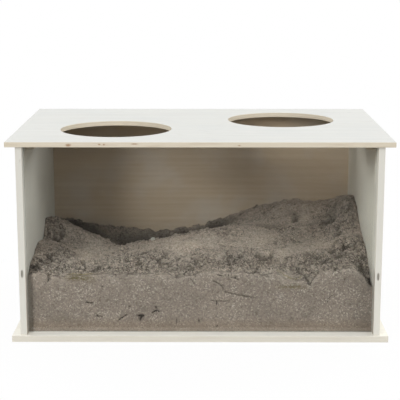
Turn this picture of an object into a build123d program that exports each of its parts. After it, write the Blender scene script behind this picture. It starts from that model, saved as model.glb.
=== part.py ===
from build123d import *
import os
from math import exp

# A small pet's digging box. It is a shallow wooden tray closed on three sides by boards and at the
# front by a clear pane, half full of digging sand, under a lift-off lid with two round entry
# holes. Sizes are in millimetres, X is the box's length with the left side at -X, the pane faces
# -Y, and the origin is at the middle of the base board's underside.

# Boards: the side and back boards make the body, which the base and the lid reach past
body_length, body_depth, wall_height = 550.0, 370.0, 292.0
side_thickness = 10.0
back_thickness = 9.0
base_thickness = 10.0
base_reach_x, base_reach_y = 13.0, 3.5
lid_thickness = 8.0
lid_reach_x, lid_reach_y = 15.0, 5.0
eased_edge = 0.8

# How far a cut runs past the surface that it opens
cut_past = 1.0

# Front pane and the grooves that it slides in
pane_thickness = 3.0
pane_setback = 17.0
side_groove_depth = 4.0
base_groove_depth = 3.0
groove_play = 0.3
pane_end_gap = 0.5
pane_head_gap = 1.0

# Entry holes in the lid: the left one is nearer the front, the right one nearer the back
entry_diameter = 176.0
entry_offset_x, entry_offset_y = 134.0, 53.0

# Battens under the lid, which keep it in place between the side panels
batten_width, batten_height = 13.0, 9.0
batten_side_gap = 1.0
batten_end_gap = 35.0

# Small upright slot in the front edge of each side panel, at its height above the ground
edge_slot_width, edge_slot_length, edge_slot_depth = 2.4, 10.5, 2.5
edge_slot_height = {"left": 107.0, "right": 103.0}

# Countersunk wood screws, and how far the outer ones in each row stand from the board's end
frame_screw = {"diameter": 3.5, "head": 7.0, "length": 30.0}
batten_screw = {"diameter": 3.0, "head": 5.6, "length": 14.0}
screw_tip_length = 3.0
head_angle_ratio = 0.5
head_sink = 0.3
screw_play = 0.05
recess_arm, recess_width, recess_depth = 3.2, 0.9, 1.6
side_screw_end = 45.0
side_screw_count = 3
back_screw_end = 85.0
back_screw_count = 3
corner_screw_end = 40.0
corner_screw_count = 3
batten_screw_end = 40.0
batten_screw_count = 2

# Digging sand: an even fill, then heaps and hollows as (x, y, spread in x, spread in y, height)
sand_gap = 0.3
sand_fill_height = 95.0
sand_mounds = [
    (260.0, 68.0, 36.0, 100.0, 56.0),
    (172.0, 169.0, 147.0, 130.0, 51.0),
    (227.0, -75.0, 77.0, 60.0, 24.0),
    (32.0, -15.0, 143.0, 110.0, 35.0),
    (-258.0, -54.0, 40.0, 93.0, 26.0),
    (-263.0, 54.0, 50.0, 32.0, 26.0),
    (-205.0, 57.0, 71.0, 24.0, 14.0),
    (-255.0, 140.0, 72.0, 75.0, 22.0),
    (-48.0, 116.0, 105.0, 54.0, -42.0),
]

# Smaller heaps and hollows in the same order: the first six shape the sand's lip at the pane
sand_hummocks = [
    (-130.0, -168.0, 80.0, 26.0, 8.5),
    (38.0, -168.0, 56.0, 26.0, 7.5),
    (106.0, -168.0, 26.0, 26.0, 5.0),
    (146.0, -168.0, 22.0, 26.0, -13.0),
    (220.0, -168.0, 32.0, 26.0, 14.0),
    (264.0, -160.0, 17.0, 40.0, -22.0),
    (219.0, 66.0, 26.0, 30.0, -8.0),
    (163.0, 92.0, 20.0, 26.0, -7.0),
    (121.0, 42.0, 26.0, 20.0, -6.0),
    (172.0, 36.0, 26.0, 24.0, 4.0),
    (216.0, -96.0, 28.0, 22.0, -8.0),
    (238.0, -126.0, 18.0, 18.0, 5.0),
    (106.0, -74.0, 44.0, 18.0, 4.0),
    (100.0, -108.0, 48.0, 18.0, -4.0),
    (-56.0, -124.0, 74.0, 18.0, -4.0),
    (-44.0, -66.0, 46.0, 22.0, 4.0),
    (-112.0, -66.0, 24.0, 18.0, -3.0),
    (-168.0, -14.0, 18.0, 18.0, -7.0),
    (-243.0, 18.0, 20.0, 24.0, -7.0),
    (-236.0, -98.0, 30.0, 18.0, -5.0),
    (-190.0, -82.0, 30.0, 24.0, 4.0),
    (240.0, 118.0, 26.0, 22.0, -5.0),
]
sand_columns, sand_rows = 45, 29
sand_grid_margin = 4.0

# Places that several pieces share
side_outer = body_length / 2
side_inner = side_outer - side_thickness
side_middle = side_outer - side_thickness / 2
body_front, body_back = -body_depth / 2, body_depth / 2
back_inner = body_back - back_thickness
back_middle = body_back - back_thickness / 2
wall_top = base_thickness + wall_height
wall_middle = base_thickness + wall_height / 2
lid_top = wall_top + lid_thickness
lid_middle = (wall_top + lid_top) / 2
pane_front = body_front + pane_setback
pane_back = pane_front + pane_thickness
pane_middle = (pane_front + pane_back) / 2
groove_width = pane_thickness + 2 * groove_play
base_half_x, base_half_y = side_outer + base_reach_x, body_back + base_reach_y
lid_half_x, lid_half_y = side_outer + lid_reach_x, body_back + lid_reach_y
batten_half_y = body_back - batten_end_gap
batten_outer = side_inner - batten_side_gap
batten_middle = batten_outer - batten_width / 2
batten_bottom = wall_top - batten_height


def block(x, y, z):
    """A solid block between two values on each axis."""
    size = (x[1] - x[0], y[1] - y[0], z[1] - z[0])
    centre = [(low + high) / 2 for low, high in (x, y, z)]
    return Pos(*centre) * Box(*size)


def eased(edges):
    """The board that these edges belong to, with the edges sanded round."""
    return fillet(edges, eased_edge)


def spread(reach, count):
    """Evenly spaced places from -reach to reach."""
    return [reach * (2 * i / (count - 1) - 1) for i in range(count)]


def head_depth(screw):
    return (screw["head"] - screw["diameter"]) * head_angle_ratio


def screw_body(screw, play=0.0):
    """A screw along +Z with its flat head's top at the origin and its tip above."""
    radius, head = screw["diameter"] / 2 + play, screw["head"] / 2 + play
    cone = head_depth(screw)
    straight = screw["length"] - cone - screw_tip_length
    profile = Polyline(
        (0, 0),
        (head, 0),
        (radius, cone),
        (radius, cone + straight),
        (0, screw["length"]),
        (0, 0),
    )
    return revolve(Plane.XZ * make_face(profile), Axis.Z)


def screw_solid(screw):
    """The screw with the cross recess in its head."""
    arm = Box(recess_arm, recess_width, 2 * recess_depth)
    return screw_body(screw) - (arm + Rot(0, 0, 90) * arm)


def screw_hole(screw):
    """The hole that a screw is driven in, with its countersink run out past the surface."""
    mouth = Cylinder(
        screw["head"] / 2 + screw_play,
        head_sink,
        align=(Align.CENTER, Align.CENTER, Align.MAX),
    )
    return screw_body(screw, screw_play) + mouth


# Each screw row is a list of places, with the screw's +Z pointing into the wood
def base_to_side_places(hand):
    return [
        Pos(hand * side_middle, y, head_sink)
        for y in spread(body_back - side_screw_end, side_screw_count)
    ]


def base_to_back_places():
    return [
        Pos(x, back_middle, head_sink)
        for x in spread(side_inner - back_screw_end, back_screw_count)
    ]


def side_to_back_places(hand):
    turn = Rot(0, -90 * hand, 0)
    return [
        Pos(hand * (side_outer - head_sink), back_middle, wall_middle + z) * turn
        for z in spread(wall_height / 2 - corner_screw_end, corner_screw_count)
    ]


def batten_to_lid_places(hand):
    return [
        Pos(hand * batten_middle, y, batten_bottom + head_sink)
        for y in spread(batten_half_y - batten_screw_end, batten_screw_count)
    ]


def drilled(solid, screw, places):
    """The solid with a screw hole at each place."""
    for place in places:
        solid = solid - place * screw_hole(screw)
    return solid


def screws(screw, places):
    return Compound(children=[place * screw_solid(screw) for place in places])


def base_board():
    board = block((-base_half_x, base_half_x), (-base_half_y, base_half_y), (0, base_thickness))
    board = eased(board.edges().filter_by(Axis.Z) + board.faces().sort_by(Axis.Z)[-1].edges())
    groove_end = side_inner + side_groove_depth
    groove = block(
        (-groove_end, groove_end),
        (pane_middle - groove_width / 2, pane_middle + groove_width / 2),
        (base_thickness - base_groove_depth, base_thickness + cut_past),
    )
    board = board - groove
    for hand in (-1, 1):
        board = drilled(board, frame_screw, base_to_side_places(hand))
    return drilled(board, frame_screw, base_to_back_places())


def side_panel(hand, slot_height):
    """Side board with the pane's upright groove and the small slot in its front edge."""
    inner, outer = sorted((hand * side_inner, hand * side_outer))
    panel = block((inner, outer), (body_front, body_back), (base_thickness, wall_top))
    panel = eased(panel.faces().sort_by(Axis.Y)[0].edges().filter_by(Axis.Z))
    groove_x = sorted((hand * (side_inner - cut_past), hand * (side_inner + side_groove_depth)))
    groove = block(
        groove_x,
        (pane_middle - groove_width / 2, pane_middle + groove_width / 2),
        (base_thickness - cut_past, wall_top + cut_past),
    )
    slot = extrude(
        Plane.XZ * SlotOverall(edge_slot_length, edge_slot_width, rotation=90),
        edge_slot_depth,
        both=True,
    )
    panel = panel - groove - Pos(hand * side_middle, body_front, slot_height) * slot
    panel = drilled(panel, frame_screw, base_to_side_places(hand))
    return drilled(panel, frame_screw, side_to_back_places(hand))


def back_panel():
    board = block((-side_inner, side_inner), (back_inner, body_back), (base_thickness, wall_top))
    for hand in (-1, 1):
        board = drilled(board, frame_screw, side_to_back_places(hand))
    return drilled(board, frame_screw, base_to_back_places())


def front_pane():
    half = side_inner + side_groove_depth - pane_end_gap
    bottom = base_thickness - base_groove_depth
    return block((-half, half), (pane_front, pane_back), (bottom, wall_top - pane_head_gap))


def lid_board():
    board = block((-lid_half_x, lid_half_x), (-lid_half_y, lid_half_y), (wall_top, lid_top))
    for hand in (-1, 1):
        entry = Cylinder(entry_diameter / 2, lid_thickness + 2 * cut_past)
        board = board - Pos(hand * entry_offset_x, hand * entry_offset_y, lid_middle) * entry
    faces = board.faces().sort_by(Axis.Z)
    board = eased(board.edges().filter_by(Axis.Z) + faces[0].edges() + faces[-1].edges())
    for hand in (-1, 1):
        board = drilled(board, batten_screw, batten_to_lid_places(hand))
    return board


def lid_batten(hand):
    inner, outer = sorted((hand * (batten_outer - batten_width), hand * batten_outer))
    batten = block((inner, outer), (-batten_half_y, batten_half_y), (batten_bottom, wall_top))
    batten = eased(batten.faces().sort_by(Axis.Z)[0].edges())
    return drilled(batten, batten_screw, batten_to_lid_places(hand))


def sand_height(x, y):
    """Height of the sand above the ground: the fill plus each heap or hollow."""
    height = sand_fill_height
    for middle_x, middle_y, spread_x, spread_y, rise in sand_mounds + sand_hummocks:
        across, along = (x - middle_x) / spread_x, (y - middle_y) / spread_y
        height += rise * exp(-(across**2) - along**2)
    return height


def digging_sand():
    """The sand: a body that fills the tray, cut off on top by its uneven surface."""
    half_x = side_inner - sand_gap
    front, back = pane_back + groove_play, back_inner - sand_gap
    middle_y, half_y = (front + back) / 2, (back - front) / 2
    xs = spread(half_x + sand_grid_margin, sand_columns)
    ys = [middle_y + y for y in spread(half_y + sand_grid_margin, sand_rows)]
    points = [[(x, y, sand_height(x, y)) for y in ys] for x in xs]
    surface = Face.make_surface_from_array_of_points(points)
    below = Solid.extrude(surface, Vector(0, 0, -wall_height))
    return below & block((-half_x, half_x), (front, back), (base_thickness, wall_top))


def build():
    nodes = {
        "base_board": base_board(),
        "side_panel_left": side_panel(-1, edge_slot_height["left"]),
        "side_panel_right": side_panel(1, edge_slot_height["right"]),
        "back_panel": back_panel(),
        "front_pane": front_pane(),
        "lid_board": lid_board(),
        "lid_batten_left": lid_batten(-1),
        "lid_batten_right": lid_batten(1),
        "base_screws_left": screws(frame_screw, base_to_side_places(-1)),
        "base_screws_right": screws(frame_screw, base_to_side_places(1)),
        "base_screws_back": screws(frame_screw, base_to_back_places()),
        "corner_screws_left": screws(frame_screw, side_to_back_places(-1)),
        "corner_screws_right": screws(frame_screw, side_to_back_places(1)),
        "batten_screws_left": screws(batten_screw, batten_to_lid_places(-1)),
        "batten_screws_right": screws(batten_screw, batten_to_lid_places(1)),
        "digging_sand": digging_sand(),
    }
    os.makedirs("parts", exist_ok=True)
    for name, shape in nodes.items():
        export_step(shape, f"parts/{name}.step")


build()
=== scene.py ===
import math

import bmesh
import bpy
from mathutils import Euler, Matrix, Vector, noise
from mathutils.bvhtree import BVHTree


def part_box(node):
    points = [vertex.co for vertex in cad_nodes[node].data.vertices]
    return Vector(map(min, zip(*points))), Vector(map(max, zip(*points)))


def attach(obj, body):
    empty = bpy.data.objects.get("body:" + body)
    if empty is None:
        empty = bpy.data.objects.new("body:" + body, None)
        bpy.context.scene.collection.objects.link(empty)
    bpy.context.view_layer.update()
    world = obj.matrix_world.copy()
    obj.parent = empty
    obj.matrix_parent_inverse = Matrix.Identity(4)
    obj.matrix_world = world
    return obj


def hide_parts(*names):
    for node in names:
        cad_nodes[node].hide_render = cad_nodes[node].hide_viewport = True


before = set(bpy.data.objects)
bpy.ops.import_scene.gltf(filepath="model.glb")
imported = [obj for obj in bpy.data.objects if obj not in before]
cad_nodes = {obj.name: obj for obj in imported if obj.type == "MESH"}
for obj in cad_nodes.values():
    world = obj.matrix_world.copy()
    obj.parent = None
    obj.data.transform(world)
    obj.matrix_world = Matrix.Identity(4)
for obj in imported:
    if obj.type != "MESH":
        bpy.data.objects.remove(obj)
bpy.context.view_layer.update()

bl_info = {
    "name": "Digging Box",
    "version": (1, 0, 0),
    "blender": (4, 5, 0),
    "location": "3D Viewport > Sidebar > Digging Box",
    "description": "Dresses a wooden digging box with its boards, clear pane, screws and sand",
    "category": "Object",
}

# Lengths are in metres, as Blender has them. Lists of places that are easier to read in
# millimetres say so and are multiplied by MM. X is the box's length, the pane faces -Y.
MM = 0.001

# Which way each board's grain runs, which way it is thick and which of those faces looks inwards
# (1 or -1), how warm its edge is and how much wash lies on it, how bare the inner face is, and by
# how much the colours of its faces and edges are lighter or darker than the common ones: painted
# light and shade for how each board is lit, with a little tint
BOARDS = {
    "lid_board": {
        "grain": "X", "thick": "Z", "inner": -1, "warm": 1.0, "edge_wash": 0.42, "bare": 1.0,
        "face_light_and_tint": (0.85, 0.855, 0.855), "edge_light_and_tint": (0.86, 0.83, 0.78),
    },
    "base_board": {
        "grain": "X", "thick": "Z", "inner": 1, "warm": 0.5, "edge_wash": 0.6, "bare": 0.0,
        "face_light_and_tint": (1.15, 1.12, 1.07), "edge_light_and_tint": (0.885, 0.88, 0.865),
    },
    "side_panel_left": {
        "grain": "Z", "thick": "X", "inner": 1, "warm": 0.4, "edge_wash": 0.88, "bare": 0.1,
        "face_light_and_tint": (0.89, 0.88, 0.84), "edge_light_and_tint": (0.86, 0.855, 0.84),
    },
    "side_panel_right": {
        "grain": "Z", "thick": "X", "inner": -1, "warm": 0.4, "edge_wash": 0.88, "bare": 0.1,
        "face_light_and_tint": (1.1, 1.08, 1.01), "edge_light_and_tint": (0.87, 0.865, 0.85),
    },
    "back_panel": {
        "grain": "X", "thick": "Y", "inner": -1, "warm": 0.8, "edge_wash": 0.35, "bare": 1.0,
        "face_light_and_tint": (1.0, 1.0, 1.0), "edge_light_and_tint": (1.0, 1.0, 1.0),
    },
}
PLIES = 5.0

# How far from the lid's middle line its hole walls reach, and how much paler they are than its
# outer edges: painted light on the hole walls
HOLES_REACH = 150 * MM
HOLE_WALL_LIGHT = (1.16, 1.16, 1.16)

# Height of the small slot in each side panel's front edge, how far out it is, how far its painted
# shade reaches and how many times taller than wide it is, in millimetres
EDGE_SLOTS = {"side_panel_left": 107.0, "side_panel_right": 103.0}
SLOT_MIDDLE, SLOT_REACH, SLOT_CORE, SLOT_STRETCH = 270.0, 2.6, 1.6, 3.0
BATTENS = ("lid_batten_left", "lid_batten_right")
SCREWS = [name for name in cad_nodes if "screws" in name]

# Small knots in the lid's front edge: place along the edge, height above its middle, half length
# and half height, in millimetres
LID_KNOTS = (
    (-195, -0.6, 6.0, 3.2), (-149, 0.6, 3.0, 1.6), (-142, 0.4, 2.5, 1.8), (-97, 1.2, 7.0, 1.5),
    (58, -1.0, 4.0, 1.2),
)

# Top of the sand along the pane, as (x, height), in millimetres
PANE_LINE = (
    (-266, 93), (-263, 101), (-256, 104), (-246, 105), (-236, 103), (-233, 93), (-229, 98),
    (-221, 100), (-212, 98), (-206, 100), (-193, 101), (-181, 99), (-169, 101), (-158, 101),
    (-146, 103), (-135, 100), (-123, 102), (-107, 100), (-92, 102), (-77, 99), (-61, 102),
    (-46, 101), (-38, 96), (-28, 97), (-18, 101), (-8, 99), (0, 104), (15, 107), (31, 106),
    (46, 103), (61, 105), (77, 104), (86, 105), (93, 100), (101, 101), (110, 104), (118, 103),
    (124, 99), (130, 93), (140, 90), (150, 91), (158, 95), (163, 93), (167, 87), (172, 92),
    (178, 99), (184, 104), (193, 108), (204, 108), (214, 107), (223, 112), (230, 112),
    (237, 109), (245, 105), (250, 99), (255, 91), (261, 84), (266, 82),
)

# Cracks and small voids against the pane: (half width, depth, places), in millimetres
PANE_CRACKS = (
    (0.65, 3.0, ((20, 90), (28, 86), (34, 81), (35, 76))),
    (0.6, 3.0, ((38, 73), (45, 71), (55, 68), (69, 66), (83, 63))),
    (0.55, 2.5, ((18, 59), (26, 58), (40, 58), (45, 60))),
    (0.8, 3.0, ((25, 57), (25, 51))),
    (0.7, 2.5, ((26, 100), (31, 99), (35, 98))),
    (0.8, 2.5, ((43, 102), (44, 97), (51, 95), (58, 93))),
    (0.6, 1.8, ((-15, 95), (-12, 90), (-9, 86))),
    (1.2, 4.0, ((-69, 49), (-66, 44), (-64, 41))),
    (1.1, 4.0, ((-66, 44), (-74, 39))),
    (1.7, 6.0, ((-95, 34), (-87, 34))),
    (1.5, 6.0, ((-91, 34), (-92, 28))),
    (1.0, 3.0, ((-113, 36), (-119, 32), (-125, 28))),
    (1.0, 3.5, ((-162, 38), (-158, 33), (-152, 33))),
    (0.9, 3.5, ((-176, 56), (-171, 54), (-166, 55))),
    (0.8, 2.5, ((-36, 29), (-36, 23))),
    (1.1, 3.0, ((-2, 28), (-2, 25))),
    (1.3, 4.0, ((26, 17), (27, 18))),
    (1.2, 4.0, ((54, 96), (55, 97))),
    (1.1, 4.0, ((141, 31), (141, 28))),
    (0.9, 3.0, ((-110, 49), (-107, 49))),
    (1.0, 3.0, ((222, 94), (222, 93))),
    (0.8, 3.0, ((-152, 81), (-149, 81))),
    (0.7, 2.0, ((196, 56), (197, 62), (202, 67), (206, 69))),
    (1.5, 6.0, ((-233, 104), (-232, 98), (-234, 90))),
    (1.2, 5.0, ((155, 107), (158, 100), (162, 97), (169, 91))),
)

# Fissures across the top of the sand, seen from above: (half width, depth, places), in millimetres
TOP_CRACKS = (
    (2.6, 5.0, ((-246, -88), (-236, -100), (-222, -106))),
    (2.2, 5.0, ((-190, -84), (-184, -108), (-180, -132))),
    (2.4, 5.0, ((-161, -112), (-168, -126), (-174, -140))),
    (2.4, 4.0, ((-124, -63), (-112, -65), (-100, -64), (-84, -66))),
    (2.6, 4.0, ((-72, -98), (-60, -110), (-46, -118), (-30, -120))),
    (2.4, 4.0, ((-100, -124), (-88, -130), (-76, -128))),
    (2.6, 4.0, ((-28, -134), (-16, -138), (-4, -134), (10, -136))),
    (2.6, 4.5, ((88, -94), (101, -96), (114, -94))),
    (2.2, 4.0, ((104, -140), (120, -144), (134, -142))),
    (1.8, 5.0, ((150, -132), (158, -146), (164, -158), (170, -165))),
    (2.6, 4.0, ((136, -100), (146, -98))),
    (3.0, 5.0, ((70, 160), (82, 164), (96, 160))),
)

# Pits between clods on top, which get painted shade: (x, y, reach in x, reach in y, depth), in millimetres
TOP_PITS = (
    (217, 68, 13, 13, 9), (226, 58, 7, 8, 6), (164, 87, 8, 11, 8), (160, 76, 6, 7, 6),
    (121, 39, 14, 8, 7), (108, 44, 7, 7, 5), (132, 34, 6, 7, 5), (218, -99, 12, 9, 7),
    (210, -84, 8, 8, 5), (230, -80, 7, 9, 5), (255, -136, 9, 15, 8), (256, -104, 8, 12, 6),
    (236, 103, 13, 7, 6), (226, 116, 6, 6, 5), (-244, 20, 8, 9, 7), (-236, 30, 6, 7, 5),
    (-170, -11, 4, 6, 7), (-166, -24, 4, 5, 4), (-19, -138, 10, 6, 4), (-86, -129, 8, 5, 4),
    (119, -143, 11, 5, 4), (196, -122, 8, 7, 4), (188, -108, 6, 6, 4), (228, -12, 9, 9, 5),
    (-256, -140, 7, 12, 5), (-250, -118, 6, 8, 4), (160, -40, 5, 6, 3), (64, -102, 6, 6, 3),
    (196, 112, 5, 5, 4), (166, 110, 5, 5, 4), (-56, -111, 7, 6, 4), (-8, -118, 6, 5, 3),
    (232, 160, 12, 6, 7), (247, 165, 8, 5, 6), (214, 156, 6, 4, 5), (168, 146, 5, 4, 5),
    (203, 146, 4, 4, 4), (140, 128, 5, 4, 4), (60, 96, 9, 6, 5), (44, 104, 7, 5, 4),
)

# Spots on the top, seen from above: (x, y, reach in x, reach in y, height or share), in millimetres.
# Where the loose sand lies a little higher or lower than the imported piece, where it is more or less
# broken than elsewhere, the rim of the dug hollow, and painted shade: spots darkened for the shadow
# in the dug hollow and in other shaded places
EVERYWHERE = 1e9
TOUCHES = (
    (-139, 56, 18, 40, -10), (-156, 50, 24, 30, -3), (-76, 8, 42, 26, -3), (-120, 176, 62, 24, 7),
    (-20, 176, 40, 24, 5),
)
BROKEN = (
    (0, -126, EVERYWHERE, 30, 0.55), (160, 125, 50, 50, -0.22), (-240, 0, 40, EVERYWHERE, 0.3),
    (60, -45, 110, 34, -0.3), (-185, -10, 40, 44, -0.4),
)
RIM = ((-150, 40, 40, 30, 1.0), (-100, 22, 40, 24, 1.0), (-55, 0, 40, 24, 1.0), (0, 30, 50, 40, 0.8))
SHADE_SPOTS = (
    (-70, 124, 104, 48, 1.0), (-215, 118, 62, 54, 0.9), (20, 150, 50, 24, 0.7),
    (256, 10, 16, 120, 0.16), (-242, 42, 24, 26, 0.2), (-212, 52, 22, 14, 0.16),
    (106, 49, 34, 16, 0.38), (166, 98, 9, 14, 0.4), (222, 78, 16, 18, 0.22),
)

# Where the pressed face shows paler granules or bits of straw: (x, height, reach in x, reach in
# height, share), in millimetres
FACE_GRANULES = (
    (-130, 62, 9, 7, 1.0), (192, 58, 10, 12, 0.9), (244, 46, 14, 22, 0.8), (-180, 76, 30, 14, 0.5),
    (-225, 70, 18, 16, 0.5), (70, 54, 34, 10, 0.4), (150, 72, 24, 12, 0.5), (-24, 62, 20, 12, 0.3),
    (-212, 22, 26, 8, 0.4), (226, 78, 16, 10, 0.5),
)
FACE_STRAW = (
    (-187, 95, 21, 4.6, 2.4), (142, 81, 24, 4.2, 1.3), (-168, 91, 8, 4, 1.0), (-212, 31, 20, 6, 0.25),
)

# Rows of faces up the sand's face and back over its top, how far down the face the sand is still
# loose, and what its vertices say about it
FACE_ROWS, TOP_ROWS = 78, 200
LOOSE_DEPTH = 14 * MM
# hollow, crack and dug carry painted shade to the sand's material
SAND_MASKS = ("hollow", "packed", "crumbly", "crack", "crack_width", "granules", "straw_bits", "dug")

# Loose stalks: (x, y, heading in degrees, length, width), and the pellet's place and half size, in
# millimetres
STALKS = (
    (-190, -160.5, 4, 26, 2.4), (-176, -159.0, -8, 22, 2.0), (-168, -156.0, 15, 16, 1.6),
    (128, -158.0, -6, 24, 1.8), (146, -160.0, 3, 20, 2.0),
)
PELLET_PLACE, PELLET_SIZE = (-80, 22), (4.0, 3.0, 2.8)

# How bright the studio in front of the box looks in the pane, next to the light that it gives
MIRRORED = 0.15

# The photograph's viewpoint: place, pitch below level and turn to the left in degrees, and lens
CAMERA_PLACE = (0.00758, -1.90435, 0.58312)
CAMERA_PITCH, CAMERA_TURN = 11.868, 0.256
CAMERA_LENS, CAMERA_SENSOR = 105.72, 36.0


class Wiring:
    """Lays out one node tree with short calls. Most give back the socket that they make."""

    def __init__(self, tree):
        self.tree = tree

    def join(self, value, socket):
        """Links a socket to another or sets its value. Colours come without their alpha."""
        if isinstance(value, bpy.types.NodeSocket):
            self.tree.links.new(value, socket)
        else:
            socket.default_value = (*value, 1.0) if socket.type == "RGBA" else value

    def node(self, kind, sockets=(), **settings):
        made = self.tree.nodes.new(kind)
        for name, value in settings.items():
            setattr(made, name, value)
        for place, value in dict(sockets).items():
            self.join(value, made.inputs[place])
        return made

    def math(self, operation, *values):
        return self.node("ShaderNodeMath", enumerate(values), operation=operation).outputs[0]

    def times(self, first, *others):
        for other in others:
            first = self.math("MULTIPLY", first, other)
        return first

    def linear(self, value, slope, start):
        return self.math("MULTIPLY_ADD", value, slope, start)

    def vector(self, operation, *values):
        made = self.node("ShaderNodeVectorMath", enumerate(values), operation=operation)
        return made.outputs["Value" if operation == "LENGTH" else "Vector"]

    def scaled(self, vector, factor):
        sockets = {0: vector, "Scale": factor}
        return self.node("ShaderNodeVectorMath", sockets, operation="SCALE").outputs["Vector"]

    def split(self, vector):
        return self.node("ShaderNodeSeparateXYZ", {0: vector}).outputs

    def merge(self, x, y, z):
        return self.node("ShaderNodeCombineXYZ", {0: x, 1: y, 2: z}).outputs[0]

    def fade(self, value, low, high):
        """0 below low, 1 above high and a smooth step between; high may be the lower one."""
        sockets = {"Value": value, "From Min": low, "From Max": high}
        made = self.node("ShaderNodeMapRange", sockets, interpolation_type="SMOOTHSTEP")
        return made.outputs["Result"]

    def mix(self, share, first, second):
        return self.node("ShaderNodeMix", {0: share, 6: first, 7: second}, data_type="RGBA").outputs[2]

    def lay(self, base, colour, mask, most):
        """Lays a colour over a base where a mask is, with the most that may cover the base."""
        return self.mix(self.times(mask, most), base, colour)

    def noise(self, place, scale, detail=2.0, roughness=0.5, warp=0.0, output="Fac"):
        sockets = {
            "Vector": place,
            "Scale": scale,
            "Detail": detail,
            "Roughness": roughness,
            "Distortion": warp,
        }
        return self.node("ShaderNodeTexNoise", sockets).outputs[output]

    def cells(self, place, scale, feature="F1"):
        sockets = {"Vector": place, "Scale": scale}
        return self.node("ShaderNodeTexVoronoi", sockets, feature=feature).outputs["Distance"]


def board_grain(w, given):
    """Wood figure for places in millimetres with X along the grain."""
    x, y, z = w.split(given["Place"])
    across, seed = w.math("ADD", y, z), given["Seed"]

    def stretched(length, width):
        return w.merge(w.math("DIVIDE", x, length), w.math("DIVIDE", across, width), seed)

    streaks = stretched(given["Streak Length"], given["Streak Width"])
    rings = w.times(w.noise(stretched(420.0, 62.0), 1.0, detail=1.0, warp=0.4), 17.0)
    rings = w.fade(w.math("PINGPONG", rings, 0.5), 0.34, 0.5)
    fibre = w.noise(stretched(38.0, given["Fibre Width"]), 1.0, detail=3.0, roughness=0.65)
    return {
        "Streaks": w.noise(streaks, 1.0, detail=4.0, roughness=0.6, warp=0.25),
        "Rings": rings,
        "Fibre": fibre,
        "Height": w.linear(rings, 0.35, fibre),
    }


def ply_edge(w, given):
    """Layers of a board's edge for places in millimetres with Z through its thickness."""
    x, y, z = w.split(given["Place"])
    run = w.math("ADD", x, y)
    sway = w.noise(w.merge(w.math("DIVIDE", run, 34.0), given["Seed"], 0.0), 1.0, detail=3.0)
    depth = w.math("ADD", w.math("DIVIDE", z, given["Thickness"]), 0.5)
    swayed = w.linear(w.math("SUBTRACT", sway, 0.5), 0.07, depth)
    layer = w.times(swayed, given["Plies"])
    number = w.math("FLOOR", layer)
    cross = w.math("FLOORED_MODULO", number, 2.0)
    off_joint = w.math("PINGPONG", w.math("FRACT", layer), 0.5)
    gaps = w.noise(w.merge(w.math("DIVIDE", run, 26.0), number, given["Seed"]), 1.0, detail=1.0)
    from_middle = w.math("ABSOLUTE", w.math("SUBTRACT", depth, 0.5))
    return {
        "Cross Ply": cross,
        "Glue Line": w.fade(off_joint, 0.13, 0.03),
        "Void": w.times(w.fade(gaps, 0.74, 0.8), cross, w.fade(off_joint, 0.05, 0.2)),
        "Face Ply": w.fade(from_middle, 0.4, 0.46),
    }


def small_knot(w, given):
    """One small knot: 1 at its heart, 0 outside."""
    away = w.vector("DIVIDE", w.vector("SUBTRACT", given["Place"], given["Heart"]), given["Reach"])
    rough = w.times(w.noise(given["Place"], 0.5), 0.7)
    return {"Mask": w.fade(w.math("ADD", w.vector("LENGTH", away), rough), 1.35, 0.55)}


def edge_wear(w, given):
    """How near a place on a box's surface is to one of the box's edges, broken up by noise."""
    inset = w.vector("SUBTRACT", given["Half Size"], w.vector("ABSOLUTE", given["Place"]))
    a, b, c = w.split(inset)
    second = w.math("MAXIMUM", w.math("MINIMUM", a, b), w.math("MINIMUM", w.math("MAXIMUM", a, b), c))
    patchy = w.times(w.noise(given["Place"], 0.06, detail=4.0), given["Width"])
    return {"Worn": w.fade(second, patchy, 0.0)}


def sand_film(w, given):
    """Fine sand dust that clings to a wall just above the sand, for places in metres."""
    height = w.split(given["Place"])[2]
    ragged = w.times(w.noise(given["Place"], 26.0, detail=4.0, roughness=0.65), given["Reach"])
    fading = w.fade(height, w.math("ADD", given["Level"], ragged), given["Level"])
    grains = w.fade(w.noise(given["Place"], 900.0, detail=1.0), 0.42, 0.66)
    return {"Dust": w.times(fading, w.linear(grains, 0.7, 0.3))}


def sand_grains(w, given):
    """Light and dark grains, a mottle, gaps between crumbs and a fine height, for metres."""
    place = w.scaled(given["Place"], given["Grain"])
    aside = w.vector("ADD", place, (3.1, 1.7, 5.3))
    coarse = w.cells(w.vector("ADD", place, (0.4, 0.9, 0.2)), 330.0)
    pushed = w.vector("MULTIPLY", w.noise(place, 170.0, output="Color"), (0.004, 0.004, 0.004))
    gaps = w.cells(w.vector("ADD", place, pushed), 165.0, feature="DISTANCE_TO_EDGE")
    return {
        "Light": w.fade(w.noise(place, 440.0, detail=1.0), 0.58, 0.67),
        "Dark": w.fade(w.noise(aside, 380.0, roughness=0.6), 0.55, 0.64),
        "Mottle": w.noise(w.vector("ADD", aside, (1.0, 2.0, 0.3)), 190.0, detail=4.0, roughness=0.8),
        "Tint": w.noise(place, 17.0, detail=4.0, roughness=0.6),
        "Gap": w.times(w.fade(gaps, 0.24, 0.05), w.fade(w.noise(aside, 95.0), 0.44, 0.58)),
        "Height": w.math("ADD", w.times(coarse, -0.6), w.times(w.noise(place, 1100.0), 0.4)),
    }


# Each shader group's inputs: None or three values for a vector, one value for a number
GROUPS = {
    "Board Grain": (
        board_grain,
        {"Place": None, "Seed": 0.0, "Streak Length": 260.0, "Streak Width": 9.0, "Fibre Width": 0.7},
    ),
    "Ply Edge": (ply_edge, {"Place": None, "Thickness": 8.0, "Plies": 5.0, "Seed": 0.0}),
    "Knot": (small_knot, {"Place": None, "Heart": None, "Reach": (5, 5, 5)}),
    "Edge Wear": (edge_wear, {"Place": None, "Half Size": (1, 1, 1), "Width": 1.5}),
    "Sand Film": (sand_film, {"Place": None, "Level": 0.12, "Reach": 0.05}),
    "Sand Grains": (sand_grains, {"Place": None, "Grain": 1.0}),
}


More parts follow.
